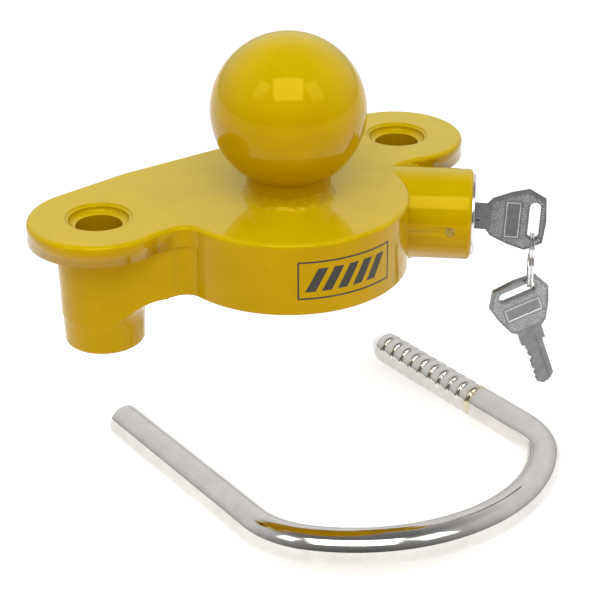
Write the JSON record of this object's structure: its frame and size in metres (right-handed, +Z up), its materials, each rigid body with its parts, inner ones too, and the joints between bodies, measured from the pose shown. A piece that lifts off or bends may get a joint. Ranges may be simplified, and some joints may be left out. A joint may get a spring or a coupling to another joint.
{
  "type": "trailer coupler lock",
  "caption": "Cast trailer coupler lock: a ball that fills the coupler socket, a two-bore housing with a key lock barrel, a separate ratchet U-shackle, and keys on a ring.",
  "frame": {"origin": "centre of the coupling ball", "axes": "+Z up along the ball's axis, +X from the left shackle bore to the right one, +Y from the ball towards the shackle bores"},
  "size_m": [0.1823, 0.1425, 0.1772],
  "materials": {
    "yellow_enamel": "gloss",
    "bright_chrome": "polished",
    "lock_steel": "satin",
    "key_nickel": "satin",
    "dull_brass": "dull",
    "wafer_brass": "satin",
    "spring_steel": "bright",
    "cam_steel": "zinc plated"
  },
  "bodies": {
    "housing": {"housing": "yellow_enamel", "coupling_ball": "yellow_enamel", "ball_weld": "yellow_enamel", "lock_shell": "lock_steel", "shell_pin": "dull_brass", "latch_bore_plug": "yellow_enamel", "latch_spring": "spring_steel"},
    "shackle": {"shackle": "bright_chrome"},
    "plug": {"lock_plug": "lock_steel", "plug_clip": "spring_steel", "lock_cam": "cam_steel", "cam_pin": "spring_steel"},
    "latch": {"latch_bolt": "cam_steel"},
    "key": {"key": "key_nickel"},
    "ring": {"split_ring": "spring_steel"},
    "spare_key": {"spare_key": "key_nickel"},
    "wafer_1": {"lock_wafer_1": "wafer_brass"},
    "wafer_2": {"lock_wafer_2": "wafer_brass"},
    "wafer_3": {"lock_wafer_3": "wafer_brass"},
    "wafer_4": {"lock_wafer_4": "wafer_brass"},
    "wafer_5": {"lock_wafer_5": "wafer_brass"}
  },
  "joints": [
    {"name": "shackle_slide", "type": "slide", "parent": "housing", "child": "shackle", "axis": [0.0246, 0.9981, -0.0565], "range_m": [0, 0.052]},
    {"name": "plug_turn", "type": "hinge", "parent": "housing", "child": "plug", "pos_m": [0.0601, -0.0216, -0.0442], "axis": [0.7524, -0.6587, 0], "range_deg": [0, 90]},
    {"name": "latch_slide", "type": "slide", "parent": "housing", "child": "latch", "axis": [0.6587, 0.7524, 0], "range_m": [0, 0.0022], "deforming": ["latch_spring"]},
    {"name": "key_withdraw", "type": "slide", "parent": "plug", "child": "key", "axis": [0.7524, -0.6587, 0], "range_m": [0, 0.024]},
    {"name": "ring_swing", "type": "hinge", "parent": "key", "child": "ring", "pos_m": [0.07555, -0.03513, -0.0513], "axis": [0.6587, 0.7524, 0], "range_deg": [-12, 12]},
    {"name": "spare_key_swing", "type": "hinge", "parent": "ring", "child": "spare_key", "pos_m": [0.07555, -0.03513, -0.0693], "axis": [0.6587, 0.7524, 0], "range_deg": [-15, 15]},
    {"name": "wafer_1_slide", "type": "slide", "parent": "plug", "child": "wafer_1", "axis": [0, 0, -1], "range_m": [0, 0.0008]},
    {"name": "wafer_2_slide", "type": "slide", "parent": "plug", "child": "wafer_2", "axis": [0, 0, -1], "range_m": [0, 0.0008]},
    {"name": "wafer_3_slide", "type": "slide", "parent": "plug", "child": "wafer_3", "axis": [0, 0, -1], "range_m": [0, 0.0008]},
    {"name": "wafer_4_slide", "type": "slide", "parent": "plug", "child": "wafer_4", "axis": [0, 0, -1], "range_m": [0, 0.0008]},
    {"name": "wafer_5_slide", "type": "slide", "parent": "plug", "child": "wafer_5", "axis": [0, 0, -1], "range_m": [0, 0.0008]}
  ],
  "couplings": [
    {"joint": "latch_slide", "follows": "plug_turn", "m_per_rad": 0.0014},
    {"joint": "wafer_1_slide", "follows": "key_withdraw", "ratio": 0.0333},
    {"joint": "wafer_2_slide", "follows": "key_withdraw", "ratio": 0.0333},
    {"joint": "wafer_3_slide", "follows": "key_withdraw", "ratio": 0.0333},
    {"joint": "wafer_4_slide", "follows": "key_withdraw", "ratio": 0.0333},
    {"joint": "wafer_5_slide", "follows": "key_withdraw", "ratio": 0.0333}
  ]
}
